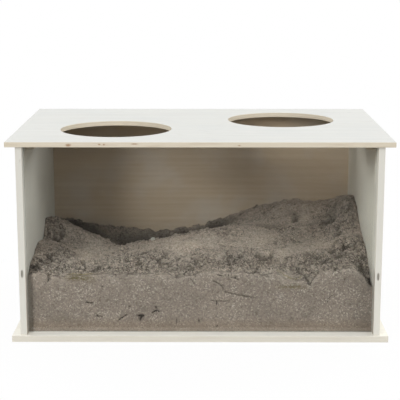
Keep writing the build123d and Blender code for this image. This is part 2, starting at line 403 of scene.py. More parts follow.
def shader_group(name):
    """The shader node group of a name, which is built when it is first asked for."""
    if name in bpy.data.node_groups:
        return bpy.data.node_groups[name]
    build, inputs = GROUPS[name]
    tree = bpy.data.node_groups.new(name, "ShaderNodeTree")
    for label, default in inputs.items():
        kind = "NodeSocketFloat" if isinstance(default, float) else "NodeSocketVector"
        socket = tree.interface.new_socket(label, in_out="INPUT", socket_type=kind)
        if default is not None:
            socket.default_value = default
    w = Wiring(tree)
    outputs = build(w, w.node("NodeGroupInput").outputs)
    for label in outputs:
        tree.interface.new_socket(label, in_out="OUTPUT", socket_type="NodeSocketFloat")
    ends = w.node("NodeGroupOutput").inputs
    for label, value in outputs.items():
        w.join(value, ends[label])
    return tree


def use_group(w, name, **sockets):
    """Places a shader group, with its inputs given by name, and gives back its outputs."""
    made = w.node("ShaderNodeGroup", node_tree=shader_group(name))
    for label, value in sockets.items():
        w.join(value, made.inputs[label.replace("_", " ")])
    return made.outputs


def new_material(name):
    """An empty node material, with its wiring and its output's surface socket."""
    material = bpy.data.materials.new(name)
    material.use_nodes = True
    material.node_tree.nodes.clear()
    w = Wiring(material.node_tree)
    return material, w, w.node("ShaderNodeOutputMaterial").inputs["Surface"]


def principled(w, colour, roughness, height, bump_depth, bump_strength, **others):
    """A Principled shader with a bump, in the material that the wiring lays out."""
    bump = w.node("ShaderNodeBump", {"Height": height, "Distance": bump_depth, "Strength": bump_strength})
    sockets = {"Base Color": colour, "Roughness": roughness, "Normal": bump.outputs["Normal"]}
    sockets.update({label.replace("_", " "): value for label, value in others.items()})
    return w.node("ShaderNodeBsdfPrincipled", sockets).outputs[0]


def blend(w, share, first, second):
    return w.node("ShaderNodeMixShader", {0: share, 1: first, 2: second}).outputs[0]


def object_place(w):
    return w.node("ShaderNodeTexCoord").outputs["Object"]


def facing(w, axis):
    """How far a surface is turned along an axis, from -1 to 1."""
    return w.split(w.node("ShaderNodeTexCoord").outputs["Normal"])["XYZ".index(axis)]


def board_place(w, node, grain, thick):
    """Places on a board in millimetres from its middle, with the grain along X and the thickness
    along Z, and the board's half size laid the same way."""
    turns = {"XZ": (0, 0, 0), "XY": (-90, 0, 0), "ZX": (0, 90, 0), "YZ": (0, 0, -90)}
    turn = Euler([math.radians(a) for a in turns[grain + thick]])
    low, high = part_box(node)
    half = turn.to_matrix() @ ((high - low) / 2)
    sockets = {
        "Vector": object_place(w),
        "Location": -(turn.to_matrix() @ ((low + high) / 2)) / MM,
        "Rotation": turn,
        "Scale": (1 / MM, 1 / MM, 1 / MM),
    }
    place = w.node("ShaderNodeMapping", sockets, vector_type="POINT").outputs["Vector"]
    return place, Vector([abs(v) for v in half]) / MM


def inside_share(w):
    """1 inside the tray, 0 on the box's outer faces."""
    x, y, _ = w.split(object_place(w))
    low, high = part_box("digging_sand")
    slack = 1.5 * MM
    in_x = w.math("LESS_THAN", w.math("ABSOLUTE", x), high.x + slack)
    in_front = w.math("GREATER_THAN", y, low.y - slack)
    return w.times(in_x, in_front, w.math("LESS_THAN", y, high.y + slack))


def face_colour(w, board, place, grain, on_inner, looks):
    """Pale wash over the wood's figure, and bare wood inside where the wash was left off."""
    streaks = w.fade(grain["Streaks"], 0.3, 0.72)
    thin = w.fade(grain["Fibre"], 0.52, 0.75)
    wash = w.mix(streaks, looks.wash_light, looks.wash_shade)
    wash = w.lay(wash, (0.60, 0.56, 0.49), grain["Rings"], 0.10)
    wash = w.lay(wash, (0.62, 0.54, 0.43), thin, 0.11)
    bare = w.mix(streaks, looks.bare_light, looks.bare_shade)
    bare = w.lay(bare, (0.44, 0.31, 0.19), grain["Rings"], 0.12)
    bare = w.lay(bare, (0.42, 0.30, 0.18), thin, 0.14)
    drift = w.fade(w.noise(w.vector("MULTIPLY", place, (0.006, 0.02, 0.02)), 1.0), 0.35, 0.7)
    bare = w.lay(bare, (0.46, 0.38, 0.27), drift, 0.22)
    wash = w.mix(w.times(on_inner, board["bare"]), wash, bare)
    cloud = w.fade(w.noise(place, 0.011, detail=3.0, roughness=0.6), 0.42, 0.72)
    wash = w.lay(wash, (0.68, 0.70, 0.70), cloud, 0.24)
    marks = w.fade(w.noise(place, 0.045, detail=5.0, roughness=0.7), 0.58, 0.76)
    wash = w.lay(wash, (0.55, 0.53, 0.49), marks, 0.2)
    # Painted light and shade: the face colour scaled for how this board is lit
    return w.vector("MULTIPLY", wash, board["face_light_and_tint"])


def edge_colour(w, board, place, ply, looks):
    """Layers of veneer under a thin wash, with pores, glue lines and small voids."""
    warm = board["warm"]
    face_ply = (0.80 - 0.01 * warm, 0.76 - 0.04 * warm, 0.67 - 0.09 * warm)
    core_ply = (0.77 - 0.06 * warm, 0.71 - 0.11 * warm, 0.60 - 0.17 * warm)
    edge = w.mix(w.times(ply["Cross Ply"], 0.8), face_ply, core_ply)
    along = w.noise(w.vector("MULTIPLY", place, (0.018, 0.018, 0.25)), 1.0, detail=4.0, roughness=0.65)
    edge = w.lay(edge, (0.50, 0.36, 0.21), w.fade(along, 0.45, 0.8), 0.55 * warm + 0.1)
    edge = w.lay(edge, (0.48, 0.38, 0.27), w.fade(w.noise(place, 0.9), 0.5, 0.8), 0.25)
    edge = w.lay(edge, (0.30, 0.20, 0.12), ply["Glue Line"], 0.16 + 0.16 * warm)
    edge = w.lay(edge, looks.wash_light, ply["Face Ply"], 0.65)
    edge = w.mix(board["edge_wash"], edge, looks.edge_wash)
    return w.lay(edge, (0.22, 0.15, 0.09), ply["Void"], 0.4)


def board_material(node, board, seed, looks):
    """Whitewashed plywood for one board."""
    material, w, surface = new_material(f"whitewashed_{node}")
    place, half = board_place(w, node, board["grain"], board["thick"])
    turned = facing(w, board["thick"])
    on_face = w.fade(w.math("ABSOLUTE", turned), 0.6, 0.9)
    on_inner = w.fade(w.times(turned, float(board["inner"])), 0.6, 0.9)
    grain = use_group(
        w, "Board Grain", Place=place, Seed=seed, Streak_Length=420.0, Streak_Width=6.0, Fibre_Width=0.8
    )
    ply = use_group(w, "Ply Edge", Place=place, Thickness=2 * half.z, Plies=PLIES, Seed=seed)
    wash = face_colour(w, board, place, grain, on_inner, looks)
    edge = edge_colour(w, board, place, ply, looks)
    if node == "lid_board":
        for along, up, reach_along, reach_up in LID_KNOTS:
            heart, reach = (along, -half.y, up), (reach_along, 8.0, reach_up)
            knot = use_group(w, "Knot", Place=place, Heart=heart, Reach=reach)
            edge = w.lay(edge, (0.32, 0.15, 0.05), knot["Mask"], 0.75)
    # Painted light and shade: the edge colour scaled for how this board is lit
    edge = w.vector("MULTIPLY", edge, board["edge_light_and_tint"])
    x, y, z = w.split(object_place(w))
    # Painted light: the lid's hole walls paler than its outer edges
    if node == "lid_board":
        in_holes = w.math("LESS_THAN", w.math("ABSOLUTE", y), HOLES_REACH)
        edge = w.mix(in_holes, edge, w.vector("MULTIPLY", edge, HOLE_WALL_LIGHT))
    if node in EDGE_SLOTS:
        # Painted shade inside the small slot in the front edge
        up = w.math("DIVIDE", w.math("SUBTRACT", z, EDGE_SLOTS[node] * MM), SLOT_STRETCH)
        out = w.math("SUBTRACT", w.math("ABSOLUTE", x), SLOT_MIDDLE * MM)
        slot_shade = w.fade(w.vector("LENGTH", w.merge(up, 0.0, out)), SLOT_REACH * MM, SLOT_CORE * MM)
        edge = w.lay(edge, (0.27, 0.245, 0.215), w.times(slot_shade, w.math("LESS_THAN", y, 0.0)), 0.62)
        # Painted shade on the inner face's strip in front of the pane, below the sand's top, in the dust
        # colour
        in_front = w.math("LESS_THAN", y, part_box("digging_sand")[0].y)
        wash = w.lay(wash, looks.dust, w.times(in_front, w.fade(z, 0.12, 0.1), on_inner), 0.75)

    colour = w.mix(on_face, edge, wash)
    wear = use_group(w, "Edge Wear", Place=place, Half_Size=half, Width=2.2)
    colour = w.lay(colour, (0.66, 0.58, 0.45), wear["Worn"], 0.35)
    film = use_group(w, "Sand Film", Place=object_place(w), Level=0.10, Reach=0.035)
    colour = w.lay(colour, looks.dust, w.times(inside_share(w), film["Dust"]), 0.35)
    height = w.linear(ply["Void"], -3.0, grain["Height"])
    rough = w.linear(grain["Fibre"], 0.2, 0.48)
    w.join(principled(w, colour, rough, height, 0.12 * MM, 0.6, Specular_IOR_Level=0.35), surface)
    return material


def batten_material(node, seed):
    """Plain planed softwood, with its end grain and rings, the end grain painted paler than the side grain
    as painted light.
    """
    material, w, surface = new_material(f"planed_{node}")
    place, half = board_place(w, node, "Y", "Z")
    grain = use_group(
        w, "Board Grain", Place=place, Seed=seed, Streak_Length=180.0, Streak_Width=3.0, Fibre_Width=0.5
    )
    wood = w.mix(w.fade(grain["Streaks"], 0.3, 0.7), (0.74, 0.60, 0.42), (0.66, 0.48, 0.29))
    wood = w.lay(wood, (0.50, 0.31, 0.15), grain["Rings"], 0.45)
    wood = w.lay(wood, (0.45, 0.30, 0.16), w.fade(grain["Fibre"], 0.5, 0.8), 0.25)
    _, y, z = w.split(place)
    from_pith = w.merge(0.0, w.math("ADD", y, 9.0), w.math("ADD", z, 16.0))
    ring = w.math("PINGPONG", w.times(w.vector("LENGTH", from_pith), 0.55), 0.5)
    # Painted light: the end grain paler than the side grain, for light on the ends under the lid
    end = w.mix(w.fade(ring, 0.3, 0.5), (0.86, 0.76, 0.60), (0.74, 0.60, 0.42))
    colour = w.mix(w.fade(w.math("ABSOLUTE", facing(w, "Y")), 0.6, 0.9), wood, end)
    wear = use_group(w, "Edge Wear", Place=place, Half_Size=half, Width=1.2)
    colour = w.lay(colour, (0.80, 0.70, 0.54), wear["Worn"], 0.3)
    rough = w.linear(grain["Fibre"], 0.2, 0.5)
    height = grain["Height"]
    w.join(principled(w, colour, rough, height, 0.15 * MM, 0.7, Specular_IOR_Level=0.35), surface)
    return material


def pane_material(looks):
    """Clear acrylic sheet with saw-cut edges, fine rub marks and a little sand dust."""
    material, w, surface = new_material("clear_acrylic")
    place = object_place(w)
    cut_edge = w.fade(w.math("ABSOLUTE", facing(w, "Y")), 0.7, 0.4)
    dust = use_group(w, "Sand Film", Place=place, Level=0.06, Reach=0.09)["Dust"]
    rubs = w.noise(w.vector("MULTIPLY", place, (40.0, 1.0, 9.0)), 6.0, detail=5.0, roughness=0.7)
    saw = w.noise(w.vector("MULTIPLY", place, (1.0, 0.1, 1.0)), 1800.0, detail=1.0)
    tint = w.mix(cut_edge, looks.pane_tint, (0.70, 0.80, 0.77))
    tint = w.lay(tint, looks.dust, dust, 0.10)
    haze = w.times(w.math("ADD", w.fade(rubs, 0.6, 0.78), dust), 0.02)
    rough = w.math("MAXIMUM", haze, w.times(cut_edge, 0.4))
    height = w.times(saw, cut_edge)
    acrylic = principled(w, tint, rough, height, 0.2 * MM, 0.5, IOR=1.49, Transmission_Weight=1.0)
    clear = w.node("ShaderNodeBsdfTransparent", {"Color": (0.93, 0.945, 0.94)}).outputs[0]
    in_shadow = w.node("ShaderNodeLightPath").outputs["Is Shadow Ray"]
    w.join(blend(w, in_shadow, acrylic, clear), surface)
    return material


def screw_material():
    """Zinc-plated steel with fine turning marks and a few dull spots."""
    material, w, surface = new_material("zinc_plated_steel")
    place = object_place(w)
    dull = w.fade(w.noise(place, 420.0, detail=4.0, roughness=0.7), 0.5, 0.72)
    turning = w.noise(w.vector("MULTIPLY", place, (1.0, 1.0, 4.0)), 1500.0)
    colour = w.mix(dull, (0.66, 0.66, 0.64), (0.42, 0.41, 0.38))
    rough = w.linear(dull, 0.22, 0.26)
    w.join(principled(w, colour, rough, turning, 0.04 * MM, 0.6, Metallic=1.0), surface)
    return material


def sand_material(name, looks, dry=0.0, grain=1.0):
    """Damp sand: taupe, with light and dark grains, painted shade in its hollows, gaps, cracks and listed
    shaded spots, and darker at the pane.
    """
    material, w, surface = new_material(name)
    place = object_place(w)
    grains = use_group(w, "Sand Grains", Place=place, Grain=grain)
    mask = {
        label: w.node("ShaderNodeAttribute", attribute_name=label).outputs["Fac"] for label in SAND_MASKS
    }
    loose = w.mix(w.fade(grains["Tint"], 0.32, 0.68), looks.sand_cool, looks.sand_warm)
    loose = w.mix(dry, loose, looks.sand_dry)
    colour = w.mix(mask["packed"], loose, looks.sand_damp)
    tinted = w.linear(w.fade(grains["Tint"], 0.3, 0.7), 0.16, 0.92)
    colour = w.scaled(colour, w.times(w.linear(grains["Mottle"], 1.1, 0.45), tinted))
    patches = w.fade(w.noise(place, 34.0), 0.42, 0.62)
    density = w.linear(mask["granules"], 0.5, w.linear(patches, 0.35, 0.3))
    colour = w.lay(colour, looks.sand_dry, grains["Light"], density)
    broken = w.times(mask["crumbly"], w.math("SUBTRACT", 1.0, mask["packed"]))
    colour = w.lay(colour, looks.sand_deep, grains["Dark"], w.linear(broken, 0.4, 0.5))
    # Painted shade: the listed spots darkened, in the dug hollow and other shaded places
    colour = w.lay(colour, looks.sand_shade, mask["dug"], 0.93)

    # Painted light: a paler strip at the face's left end, which lifts the shadow of the left side panel
    # there; and a browner foot
    x, _, z = w.split(place)
    colour = w.lay(colour, looks.sand_dry, w.times(w.fade(x, -0.258, -0.262), mask["packed"]), 0.55)
    colour = w.lay(colour, (0.27, 0.19, 0.125), w.fade(z, 0.036, 0.014), 0.4)

    # Straw pressed into the sand, and painted shade in the gaps between crumbs, in hollows and in thin
    # cracks
    fibres = w.noise(w.vector("MULTIPLY", place, (160.0, 1.0, 620.0)), 1.0, detail=3.0, roughness=0.7)
    straw = w.times(mask["straw_bits"], w.fade(fibres, 0.4, 0.54))
    colour = w.lay(colour, (0.165, 0.132, 0.07), straw, 0.75)
    gaps = w.times(grains["Gap"], broken)
    colour = w.lay(colour, (0.06, 0.048, 0.038), gaps, 0.7)
    colour = w.lay(colour, (0.055, 0.044, 0.034), mask["hollow"], 0.72)
    ragged = w.linear(w.noise(place, 700.0, detail=1.0), 1.8 * MM, -0.75 * MM)
    off_line = w.math("ADD", w.math("ABSOLUTE", mask["crack"]), ragged)
    crack = w.fade(w.math("SUBTRACT", mask["crack_width"], off_line), -0.05 * MM, 0.4 * MM)
    whole = w.fade(w.noise(place, 260.0, detail=1.0), 0.36, 0.48)
    crack = w.times(crack, w.fade(mask["crack_width"], 0.0, 0.3 * MM), whole)
    colour = w.lay(colour, (0.045, 0.036, 0.03), crack, 0.9)

    height = w.linear(w.math("ADD", gaps, crack), -1.2, grains["Height"])
    rough = w.linear(grains["Tint"], -0.15, 0.95)
    w.join(principled(w, colour, rough, height, 1.5 * MM, 0.8, Specular_IOR_Level=0.3), surface)
    return material


def pellet_material():
    """A pale, chalky pellet with a few dull specks."""
    material, w, surface = new_material("pale_pellet")
    specks = w.fade(w.noise(object_place(w), 900.0), 0.52, 0.68)
    colour = w.mix(specks, (0.50, 0.49, 0.43), (0.36, 0.33, 0.28))
    rough = w.linear(specks, 0.2, 0.7)
    w.join(principled(w, colour, rough, specks, 0.1 * MM, 0.6), surface)
    return material


def straw_material():
    """Dry straw with fine length lines and olive patches."""
    material, w, surface = new_material("dry_straw")
    place = object_place(w)
    blotch = w.fade(w.noise(place, 160.0, detail=3.0), 0.4, 0.65)
    colour = w.mix(blotch, (0.33, 0.265, 0.115), (0.15, 0.12, 0.05))
    lines = w.noise(w.vector("MULTIPLY", place, (0.1, 1.0, 1.0)), 2600.0, detail=1.0)
    rough = w.linear(lines, 0.2, 0.45)
    w.join(principled(w, colour, rough, lines, 0.1 * MM, 0.5), surface)
    return material


def dress(node, material):
    """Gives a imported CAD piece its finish."""
    for slot in cad_nodes[node].material_slots:
        slot.material = material


def to_mesh(made, name):
    """The plain mesh of a bmesh, which is freed."""
    mesh = bpy.data.meshes.new(name)
    made.to_mesh(mesh)
    made.free()
    return mesh


def lay_piece(name, mesh, material):
    """A finished mesh piece that rides on the box."""
    piece = bpy.data.objects.new(name, mesh)
    bpy.context.scene.collection.objects.link(piece)
    if not mesh.materials:
        mesh.materials.append(material)
    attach(piece, "box")
    return piece


def drop_to(tree, x, y):
    """Height of a surface under a place."""
    return tree.ray_cast(Vector((x, y, 1.0)), Vector((0.0, 0.0, -1.0)))[0].z


def unit(value):
    return max(0.0, min(1.0, value))


def along_line(line, x):
    """Height at x of a line given as (x, height) points."""
    for (x0, z0), (x1, z1) in zip(line, line[1:]):
        if x <= x1:
            return z0 + (z1 - z0) * max(0.0, x - x0) / (x1 - x0)
    return line[-1][1]


def nearest_line(x, z, lines):
    """(signed distance to the middle, half width, depth, distance) of the nearest listed line."""
    farthest, taper = 9.0, 1.6
    best = (farthest, 0.0, 0.0, farthest)
    for half_width, depth, places in lines:
        for (x0, z0), (x1, z1) in zip(places, places[1:]):
            length = math.hypot(x1 - x0, z1 - z0)
            run = ((x - x0) * (x1 - x0) + (z - z0) * (z1 - z0)) / length
            side = ((x - x0) * (z1 - z0) - (z - z0) * (x1 - x0)) / length
            past = max(0.0, -run, run - length)
            away = math.hypot(side, past)
            if away - half_width < best[3] - best[1]:
                width = half_width * max(0.0, 1.0 - past / taper)
                best = (math.copysign(min(farthest, abs(side)), side), width, depth, away)
    return best


def blot(x, z, spots):
    """How strongly a place lies in one of the listed oval spots."""
    share = 0.0
    for middle_x, middle_z, reach_x, reach_z, strength in spots:
        away = ((x - middle_x) / reach_x) ** 2 + ((z - middle_z) / reach_z) ** 2
        if away < 4.0:
            share = max(share, strength * math.exp(-1.2 * away))
    return share


def hills(x, y, spots):
    """The sum at a place of the listed round-topped spots."""
    return sum(
        height * math.exp(-(((x - middle_x) / reach_x) ** 2) - ((y - middle_y) / reach_y) ** 2)
        for middle_x, middle_y, reach_x, reach_y, height in spots
    )


def lumps(x, y, size, seed):
    """(roundness, lift) of clods of about a size: 1 on top and 0 in the gaps, and each its own lift."""
    distances, middles = noise.voronoi(Vector((x / size, y / size, seed)))
    edge = min(1.0, (distances[1] - distances[0]) / 0.4)
    lift = noise.noise(middles[0] * 5.3 + Vector((0.5, 0.5, 0.5)))
    return 1.0 - (1.0 - edge) ** 2, max(-1.0, min(1.0, 2.4 * lift))


def smooth_noise(x, y, size, seed, octaves=3):
    """Noise from about -1 to 1 whose largest waves have about a size."""
    return noise.fractal(Vector((x / size, y / size, seed)), 1.0, 2.0, octaves)


class SandShape:
    """The sand's surface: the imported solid's heights with lumps, crumbs, gaps and cracks."""

    def __init__(self, looks):
        solid = bmesh.new()
        solid.from_mesh(cad_nodes["digging_sand"].data)
        self.tree = BVHTree.FromBMesh(solid)
        solid.free()
        self.low, self.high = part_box("digging_sand")
        self.clod_height = looks.clod_height / MM

    def solid_height(self, x, y):
        """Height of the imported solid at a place, in metres."""
        inset = 0.3 * MM
        x = min(self.high.x - inset, max(self.low.x + inset, x))
        y = min(self.high.y - inset, max(self.low.y + inset, y))
        return drop_to(self.tree, x, y)

    def crumbly(self, x, y):
        """How broken the surface is at a place in millimetres, up to 1."""
        patch = 0.6 + 0.7 * smooth_noise(x, y, 50.0, 4.7, 2)
        return min(1.0, max(0.3, patch + hills(x, y, BROKEN)))

    def top(self, x, y):
        """(height, share of painted shade in its hollows) of the upper surface; x and y in metres."""
        xm, ym = x / MM, y / MM

        # Clods of three sizes, of which each has its own lift
        broken = self.crumbly(xm, ym)
        bend = 5.0 * smooth_noise(xm, ym, 26.0, 7.7, 2)
        big, big_lift = lumps(xm + bend, ym - bend, 16.0, 2.3)
        middle, middle_lift = lumps(xm - bend, ym, 7.4, 5.6)
        small, small_lift = lumps(xm, ym + bend, 4.4, 8.1)
        clods = unit(0.55 + 1.3 * smooth_noise(xm, ym, 34.0, 9.0, 2)) * broken
        # The hollow share is painted shade in the gaps between clods, pits and fissures
        hollow = clods * (1.0 - big) ** 2 * 0.9 + broken * (1.0 - middle) ** 2 * 0.7
        hollow += broken * (1.0 - small) ** 2 * 0.35

        # Broad waves, the clods, the ragged sand at the back, the hollow's rim and fine grit
        at_back = math.exp(-(((ym - 176.0) / 34.0) ** 2))
        rise = 0.9 * smooth_noise(xm, ym, 40.0, 1.9)
        rise += self.clod_height * clods * (0.55 * (big - 0.7) + 0.35 * big_lift * big)
        rise += broken * (1.9 * (middle - 0.7) + 1.4 * middle_lift * middle)
        rise += (0.25 + 0.75 * broken) * (1.8 * (small - 0.7) + 1.0 * small_lift * small)
        rise += 4.4 * smooth_noise(xm, ym, 12.0, 5.2) * at_back
        rise += 3.2 * smooth_noise(xm, ym, 8.0, 2.9) * blot(xm, ym, RIM)
        rise += hills(xm, ym, TOUCHES) + 0.5 * smooth_noise(xm, ym, 3.6, 6.4, 2)

        # Pits between clods, and fissures, which are deepened and given painted shade
        for pit_x, pit_y, reach_x, reach_y, depth in TOP_PITS:
            if abs(xm - pit_x) < 2 * reach_x and abs(ym - pit_y) < 2 * reach_y:
                away = math.hypot((xm - pit_x) / reach_x, (ym - pit_y) / reach_y)
                away += 0.45 * smooth_noise(xm, ym, 7.0, 3.1, 2)
                share = unit(1.9 - 1.9 * away)
                rise -= 0.75 * depth * share * (1.0 - 0.35 * small)
                hollow += 0.85 * share
        _, width, depth, away = nearest_line(xm + 0.35 * bend, ym + 0.35 * bend, TOP_CRACKS)
        slope = 2.2
        if away < width + slope:
            share = unit((width + slope - away) / slope)
            rise -= depth * share
            hollow += 0.8 * share

        # Near the pane the lumps are flatter and the sand comes to the line that shows there
        line_gap = along_line(PANE_LINE, xm) - self.solid_height(x, self.low.y) / MM
        from_pane = ym - self.low.y / MM
        rise = rise * min(1.0, 0.5 + from_pane / 8.0) + line_gap * math.exp(-((from_pane / 15.0) ** 2))
        return self.solid_height(x, y) + rise * MM, min(1.0, hollow)

    def against_pane(self, x, z, top):
        """(recess, crack line, crack half width) of the sand's face; lengths in metres."""
        xm, zm = x / MM, z / MM
        recess = 0.25 + 0.25 * smooth_noise(xm, zm, 9.0, 3.3)
        crack, width, depth, away = nearest_line(xm, zm, PANE_CRACKS)
        reach = width + 1.9
        if width and away < reach:
            recess = max(recess, depth * (1.0 - away / reach))
        edge = max(0.0, 1.0 - (top - z) / (3.2 * MM))
        recess += 1.6 * edge**2
        return max(0.0, recess) * MM, crack * MM, width * MM

    def column(self, x, on_side):
        """(place, masks) from the foot of the face up and back over the top, at one x."""
        low, high = self.low, self.high
        edge_height = self.top(x, low.y)[0]
        for row in range(FACE_ROWS):
            z = low.z + (edge_height - low.z) * (row / FACE_ROWS)
            recess, crack, width = self.against_pane(x, z, edge_height)
            loose = max(0.0, 1.0 - (edge_height - z) / LOOSE_DEPTH)
            loose *= unit(0.7 + 1.6 * smooth_noise(x / MM, z / MM, 14.0, 6.1, 2))
            masks = {
                "packed": 1.0 - 0.6 * loose,
                "crumbly": loose,
                "crack": crack,
                "crack_width": width,
                "granules": blot(x / MM, z / MM, FACE_GRANULES),
                "straw_bits": blot(x / MM, z / MM, FACE_STRAW),
            }
            yield (x, low.y + (recess if row else 0.0), z), masks
        for row in range(TOP_ROWS + 1):
            run = row / TOP_ROWS
            y = low.y + (high.y - low.y) * (0.62 * run + 0.38 * run**2)
            z, hollow = self.top(x, y)
            if row == 0:
                y += 1.9 * MM
            shake = 0.0 if on_side or row in (0, TOP_ROWS) else 0.5 * MM
            dx = shake * noise.noise(Vector((x / MM / 3, y / MM / 3, 11.0)))
            dy = shake * noise.noise(Vector((x / MM / 3, y / MM / 3, 23.0)))
            masks = {
                "hollow": hollow,
                "packed": max(0.0, 1.0 - row / 3),
                "crumbly": self.crumbly(x / MM, y / MM),
                # Share of painted shade in the listed shaded spots
                "dug": min(1.0, 1.5 * blot(x / MM, y / MM, SHADE_SPOTS)),
            }
            yield (x + dx, y + dy, z), masks


def build_sand(looks):
    """The sand as one closed mesh, fine where it is seen."""
    shape = SandShape(looks)
    low, high, columns = shape.low, shape.high, looks.columns
    made = bmesh.new()
    for name in SAND_MASKS:
        made.verts.layers.float.new(name)
    layers = {name: made.verts.layers.float[name] for name in SAND_MASKS}
    lines = []
    for i in range(columns + 1):
        lines.append([])
        x = low.x + (high.x - low.x) * (i / columns)
        for place, masks in shape.column(x, i in (0, columns)):
            vert = made.verts.new(place)
            for name, share in masks.items():
                vert[layers[name]] = share
            lines[-1].append(vert)
    back = [made.verts.new((line[-1].co.x, high.y, low.z)) for line in lines]
    for one, two, foot, next_foot in zip(lines, lines[1:], back, back[1:]):
        for row in range(len(one) - 1):
            face = made.faces.new((one[row], two[row], two[row + 1], one[row + 1]))
            face.smooth = True
        made.faces.new((one[-1], two[-1], next_foot, foot))
        made.faces.new((foot, next_foot, two[0], one[0]))
    sides = [made.faces.new([*lines[0], back[0]]), made.faces.new([*lines[-1], back[-1]])]
    bmesh.ops.triangulate(made, faces=sides)
    bmesh.ops.recalc_face_normals(made, faces=made.faces[:])
    return to_mesh(made, "sand_heap")


def open_top(mesh, margin):
    """The part of the sand's top that keeps a margin from the boards and the pane."""
    low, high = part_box("digging_sand")

    def is_clear(vert):
        x, y = vert.co.x, vert.co.y
        return abs(x) < high.x - margin and low.y + margin < y < high.y - margin

    made = bmesh.new()
    made.from_mesh(mesh)
    outside = [f for f in made.faces if f.normal.z < 0.2 or not all(is_clear(v) for v in f.verts)]
    bmesh.ops.delete(made, geom=outside, context="FACES")
    return to_mesh(made, "sand_top")


def crumb_tree():
    """Geometry nodes that scatter rounded crumbs over a surface."""
    tree = bpy.data.node_groups.new("Crumbs on Sand", "GeometryNodeTree")
    inputs = (
        ("Surface", "Geometry", None),
        ("Crumbs per Square Metre", "Float", 20000.0),
        ("Smallest", "Float", 0.0008),
        ("Largest", "Float", 0.002),
        ("Roundness", "Int", 1),
        ("Seed", "Int", 0),
        ("Finish", "Material", None),
    )
    for label, kind, default in inputs:
        socket = tree.interface.new_socket(label, in_out="INPUT", socket_type="NodeSocket" + kind)
        if default is not None:
            socket.default_value = default
    tree.interface.new_socket("Crumbs", in_out="OUTPUT", socket_type="NodeSocketGeometry")
    w = Wiring(tree)
    given = w.node("NodeGroupInput").outputs
    seed = given["Seed"]
    broken = w.node("GeometryNodeInputNamedAttribute", {"Name": "crumbly"}, data_type="FLOAT")
    density = w.times(w.math("POWER", broken.outputs["Attribute"], 1.5), given["Crumbs per Square Metre"])
    points = w.node(
        "GeometryNodeDistributePointsOnFaces",
        {"Mesh": given["Surface"], "Density": density, "Seed": seed},
        distribute_method="RANDOM",
    )
    shapes = w.node("GeometryNodeJoinGeometry")
    for kind in range(4):
        ball = w.node("GeometryNodeMeshIcoSphere", {"Radius": 1.0, "Subdivisions": given["Roundness"]})
        where = w.node("GeometryNodeInputPosition").outputs[0]
        dents = w.noise(w.vector("ADD", where, (7.3 * kind, 2.1, 0.0)), 0.9, detail=1.0)
        dented = w.scaled(where, w.linear(dents, 1.1, 0.4))
        flat = w.vector("MULTIPLY", dented, (1.0, 0.8 + 0.1 * kind, 0.75))
        placed = w.node("GeometryNodeSetPosition", {"Geometry": ball.outputs["Mesh"], "Position": flat})
        smooth = w.node("GeometryNodeSetShadeSmooth", {"Geometry": placed.outputs[0]})
        one = w.node("GeometryNodeGeometryToInstance", {0: smooth.outputs[0]})
        w.join(one.outputs[0], shapes.inputs[0])
    full_turn = (math.tau, math.tau, math.tau)
    turn = w.node("FunctionNodeRandomValue", {"Max": full_turn, "Seed": seed}, data_type="FLOAT_VECTOR")
    chance = w.node("FunctionNodeRandomValue", {"Seed": seed}, data_type="FLOAT").outputs[1]
    span = w.math("SUBTRACT", given["Largest"], given["Smallest"])
    scattered = w.node(
        "GeometryNodeInstanceOnPoints",
        {
            "Points": points.outputs["Points"],
            "Instance": shapes.outputs[0],
            "Pick Instance": True,
            "Rotation": turn.outputs[0],
            "Scale": w.linear(w.math("POWER", chance, 2.5), span, given["Smallest"]),
        },
    )
    solid = w.node("GeometryNodeRealizeInstances", {0: scattered.outputs[0]})
    finished = w.node("GeometryNodeSetMaterial", {"Geometry": solid.outputs[0], "Material": given["Finish"]})
    w.join(finished.outputs[0], w.node("NodeGroupOutput").inputs[0])
    return tree


def scatter(name, carrier, tree, values):
    """Runs a scattering tree on a carrier mesh and gives back what it makes as a plain mesh."""
    holder = bpy.data.objects.new(name + "_carrier", carrier)
    bpy.context.scene.collection.objects.link(holder)
    modifier = holder.modifiers.new(name, "NODES")
    modifier.node_group = tree
    sockets = {s.name: s.identifier for s in tree.interface.items_tree if s.in_out == "INPUT"}
    for label, value in values.items():
        modifier[sockets[label]] = value
    evaluated = holder.evaluated_get(bpy.context.evaluated_depsgraph_get())
    mesh = bpy.data.meshes.new_from_object(evaluated)
    holder.modifiers.clear()
    bpy.data.objects.remove(holder)
    if not mesh.polygons:
        raise RuntimeError(f"{name}: the scattering made nothing")
    return mesh


def straw_mesh(tree):
    """Bent straw stalks lying on the sand."""
    steps, sides = 7, 6
    made = bmesh.new()
    for number, (x, y, heading, length, width) in enumerate(STALKS):
        turn = math.radians(heading)
        rings = []
        for step in range(steps + 1):
            share = step / steps - 0.5
            bend = 1.2 * math.sin(number * 2.1 + 3.0 * share)
            px = (x + length * share * math.cos(turn) - bend * math.sin(turn)) * MM
            py = (y + length * share * math.sin(turn) + bend * math.cos(turn)) * MM
            middle = Vector((px, py, drop_to(tree, px, py) + 0.35 * width * MM))
            radius = width / 2 * MM * (1.0 - 0.5 * abs(2 * share) ** 3)
            ring = []
            for side in range(sides):
                angle = math.tau * side / sides
                out, up = radius * math.cos(angle), 0.5 * radius * math.sin(angle)
                offset = Vector((-out * math.sin(turn), out * math.cos(turn), up))
                ring.append(made.verts.new(middle + offset))
            rings.append(ring)
        for one, two in zip(rings, rings[1:]):
            for side in range(sides):
                after = (side + 1) % sides
                made.faces.new((one[side], one[after], two[after], two[side])).smooth = True
        made.faces.new(rings[0])
        made.faces.new(rings[-1])
    bmesh.ops.recalc_face_normals(made, faces=made.faces[:])
    return to_mesh(made, "straw")


